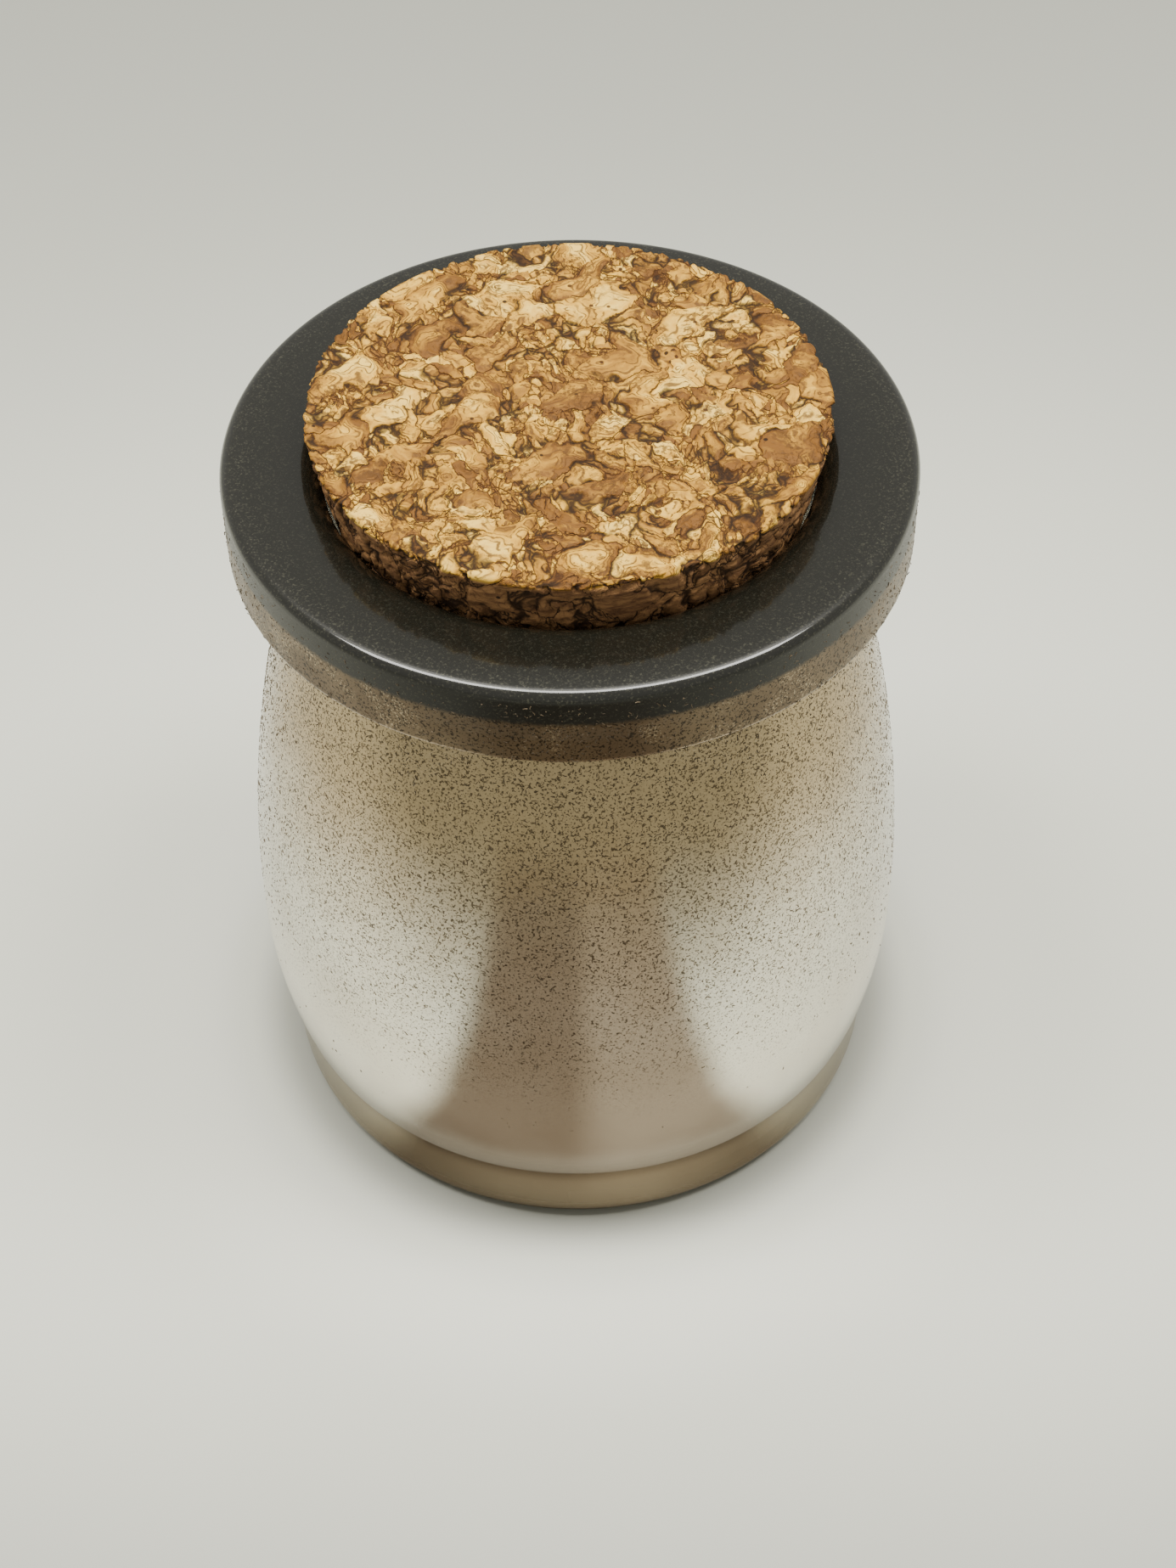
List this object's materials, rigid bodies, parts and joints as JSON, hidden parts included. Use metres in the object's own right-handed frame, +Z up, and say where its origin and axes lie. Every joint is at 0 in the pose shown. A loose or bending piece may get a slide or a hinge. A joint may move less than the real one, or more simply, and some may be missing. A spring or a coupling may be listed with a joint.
{
  "type": "stoppered glass canister",
  "caption": "Small rounded glass canister with a wide flat collar and a tapered cork stopper that lifts out of its mouth.",
  "frame": {"origin": "centre of the foot's standing ring, on the surface the canister stands on", "axes": "+Z up along the jar's axis, through the mouth; the object is round, so X and Y are free"},
  "size_m": [0.073, 0.073, 0.0921],
  "materials": {
    "coated_glass": "clear pressed glass, thinly silvered, with a dark grey gloss coat that is opaque on the collar and fades in fine specks towards the foot",
    "cork": "agglomerated cork of large chips, sanded, matt"
  },
  "bodies": {
    "jar": {"glass_jar": "coated_glass"},
    "stopper": {"cork_stopper": "cork"}
  },
  "joints": [
    {"name": "stopper_lift", "type": "slide", "parent": "jar", "child": "stopper", "axis": [0, 0, 1], "range_m": [0, 0.04]}
  ]
}
